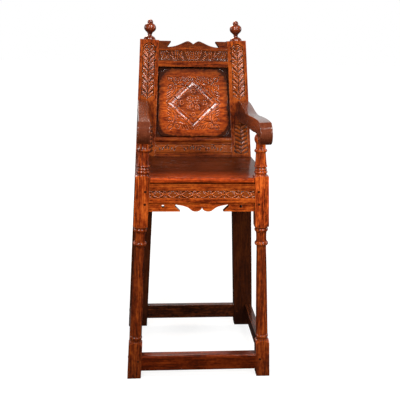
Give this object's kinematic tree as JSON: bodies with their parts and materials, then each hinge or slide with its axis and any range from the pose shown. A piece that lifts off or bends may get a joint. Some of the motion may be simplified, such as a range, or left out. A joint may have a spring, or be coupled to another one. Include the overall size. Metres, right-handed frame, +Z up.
{
  "type": "wainscot chair",
  "caption": "Child's oak wainscot high chair with turned splayed legs, carved panelled back, scrolled crest and apron, open arms and box stretchers",
  "frame": {"origin": "middle of the chair's footprint, on the floor", "axes": "+X to the right as seen from the front, +Y to the back, +Z up"},
  "size_m": [0.437, 0.5782, 1.0458],
  "materials": {
    "turned_oak": "waxed, worn",
    "frame_oak": "waxed, worn",
    "carved_oak": "waxed, worn",
    "seat_oak": "waxed, worn",
    "arm_oak": "waxed, worn",
    "peg_oak": "waxed, worn"
  },
  "bodies": {
    "root": {"front_post_left": "turned_oak", "front_post_right": "turned_oak", "finial_left": "turned_oak", "finial_right": "turned_oak", "rear_post_left": "frame_oak", "rear_post_right": "frame_oak", "side_seat_rail_left": "frame_oak", "side_seat_rail_right": "frame_oak", "rear_seat_rail": "frame_oak", "side_stretcher_left": "frame_oak", "side_stretcher_right": "frame_oak", "rear_stretcher": "frame_oak", "front_stretcher": "frame_oak", "front_seat_rail": "carved_oak", "lower_back_rail": "carved_oak", "top_rail": "carved_oak", "back_panel": "carved_oak", "seat_board": "seat_oak", "arm_left": "arm_oak", "arm_right": "arm_oak", "front_frame_pegs": "peg_oak", "rear_frame_pegs": "peg_oak", "back_pegs": "peg_oak", "side_frame_pegs": "peg_oak", "arm_pegs": "peg_oak", "seat_pegs": "peg_oak"}
  },
  "joints": []
}
